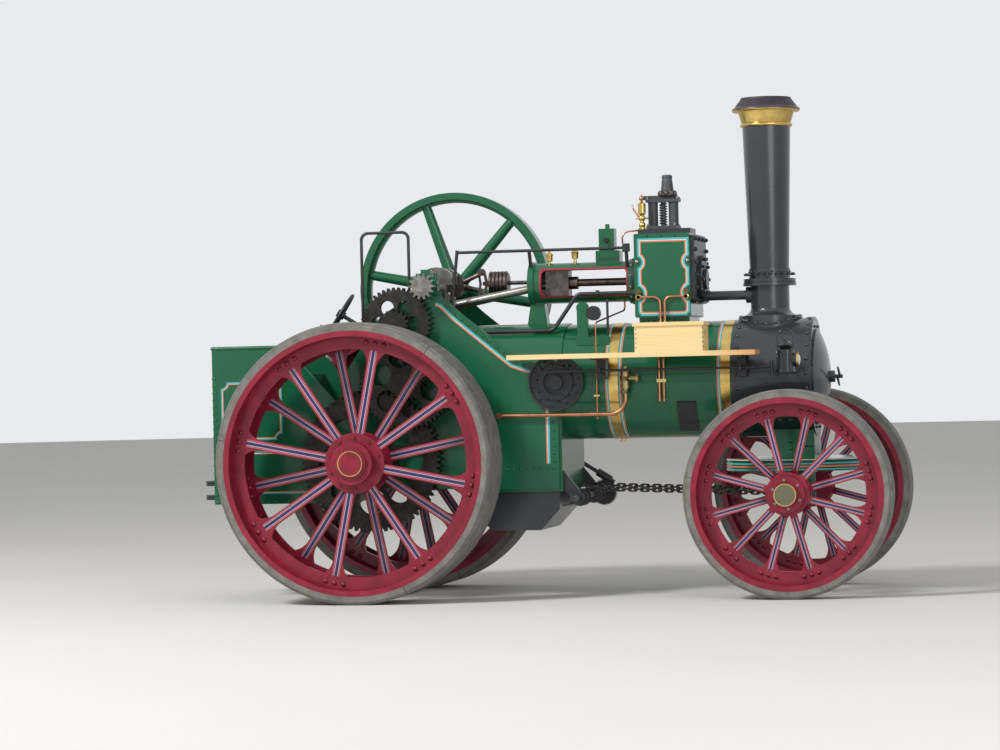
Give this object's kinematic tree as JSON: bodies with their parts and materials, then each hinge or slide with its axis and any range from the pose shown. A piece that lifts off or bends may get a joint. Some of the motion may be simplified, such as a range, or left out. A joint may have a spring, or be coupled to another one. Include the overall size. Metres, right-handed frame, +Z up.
{
  "type": "steam traction engine",
  "caption": "Steam traction engine with a boiler, a cylinder and crank above it, a flywheel, spoked wheels on rubber tyres, chain steering and a tender.",
  "frame": {"origin": "on the ground, midway along the engine and across it", "axes": "+X points forward, to the chimney end; +Y to the engine's left, the flywheel's side; +Z up"},
  "size_m": [5.18, 2.252, 3.551],
  "materials": {
    "green_enamel": "gloss",
    "crimson_paint": "gloss",
    "black_paint": "satin",
    "bright_steel": "brushed",
    "dark_iron": "oiled",
    "polished_brass": "polished",
    "copper_pipe": "satin",
    "grey_rubber": "smooth",
    "pine_board": "planed"
  },
  "bodies": {
    "engine": {"boiler_barrel": "green_enamel", "boiler_bands": "polished_brass", "smokebox": "black_paint", "chimney": "black_paint", "chimney_cap": "polished_brass", "firebox": "green_enamel", "ashpan": "black_paint", "hornplates": "green_enamel", "cylinder_block": "green_enamel", "cylinder_covers": "black_paint", "safety_valves": "black_paint", "whistle": "polished_brass", "trunk_guide": "green_enamel", "crosshead": "bright_steel", "connecting_rod": "bright_steel", "valve_gear": "bright_steel", "crank_bearings": "green_enamel", "exhaust_pipe": "black_paint", "control_rods": "black_paint", "feed_pipes": "copper_pipe", "drain_pipes": "copper_pipe", "steam_pipe": "bright_steel", "shaft_bracket": "green_enamel", "side_cover": "black_paint", "side_plank": "pine_board", "tool_box": "pine_board", "side_lamps": "black_paint", "perch_bracket": "green_enamel", "rear_axle": "bright_steel", "gearing": "dark_iron", "tender": "green_enamel", "drawbar": "black_paint", "steering_gear": "black_paint", "steering_chains": "dark_iron", "backhead_fittings": "polished_brass"},
    "front_axle": {"front_axle": "black_paint"},
    "front_wheel_right": {"front_wheel_right": "crimson_paint", "front_tyre_right": "grey_rubber"},
    "front_wheel_left": {"front_wheel_left": "crimson_paint", "front_tyre_left": "grey_rubber"},
    "rear_wheel_right": {"rear_wheel_right": "crimson_paint", "rear_tyre_right": "grey_rubber"},
    "rear_wheel_left": {"rear_wheel_left": "crimson_paint", "rear_tyre_left": "grey_rubber"},
    "crankshaft": {"crankshaft": "bright_steel", "flywheel": "green_enamel"},
    "smokebox_door": {"smokebox_door": "black_paint"},
    "firehole_door": {"firehole_door": "black_paint"},
    "tool_box_lid": {"tool_box_lid": "pine_board"}
  },
  "joints": [
    {"name": "steering", "type": "hinge", "parent": "engine", "child": "front_axle", "pos_m": [1.86, 0, 0.73], "axis": [0, 0, 1], "range_deg": [-25, 25], "deforming": ["steering_chains"]},
    {"name": "front_wheel_right_spin", "type": "hinge", "parent": "front_axle", "child": "front_wheel_right", "pos_m": [1.86, -0.76, 0.73], "axis": [0, 1, 0], "continuous": true},
    {"name": "front_wheel_left_spin", "type": "hinge", "parent": "front_axle", "child": "front_wheel_left", "pos_m": [1.86, 0.76, 0.73], "axis": [0, 1, 0], "continuous": true},
    {"name": "rear_wheel_right_spin", "type": "hinge", "parent": "engine", "child": "rear_wheel_right", "pos_m": [-1.19, -0.865, 1], "axis": [0, 1, 0], "continuous": true},
    {"name": "rear_wheel_left_spin", "type": "hinge", "parent": "engine", "child": "rear_wheel_left", "pos_m": [-1.19, 0.865, 1], "axis": [0, 1, 0], "continuous": true},
    {"name": "crankshaft_spin", "type": "hinge", "parent": "engine", "child": "crankshaft", "pos_m": [-0.77, 0, 2.25], "axis": [0, 1, 0], "continuous": true},
    {"name": "smokebox_door_hinge", "type": "hinge", "parent": "engine", "child": "smokebox_door", "pos_m": [2.02, 0.375, 1.539], "axis": [0, 0, 1], "range_deg": [0, 110]},
    {"name": "firehole_door_hinge", "type": "hinge", "parent": "engine", "child": "firehole_door", "pos_m": [-0.5663, 0.195, 1.41], "axis": [0, 0, -1], "range_deg": [0, 100]},
    {"name": "tool_box_lid_hinge", "type": "hinge", "parent": "engine", "child": "tool_box_lid", "pos_m": [1.043, -0.489, 1.921], "axis": [-1, 0, 0], "range_deg": [0, 95]}
  ]
}
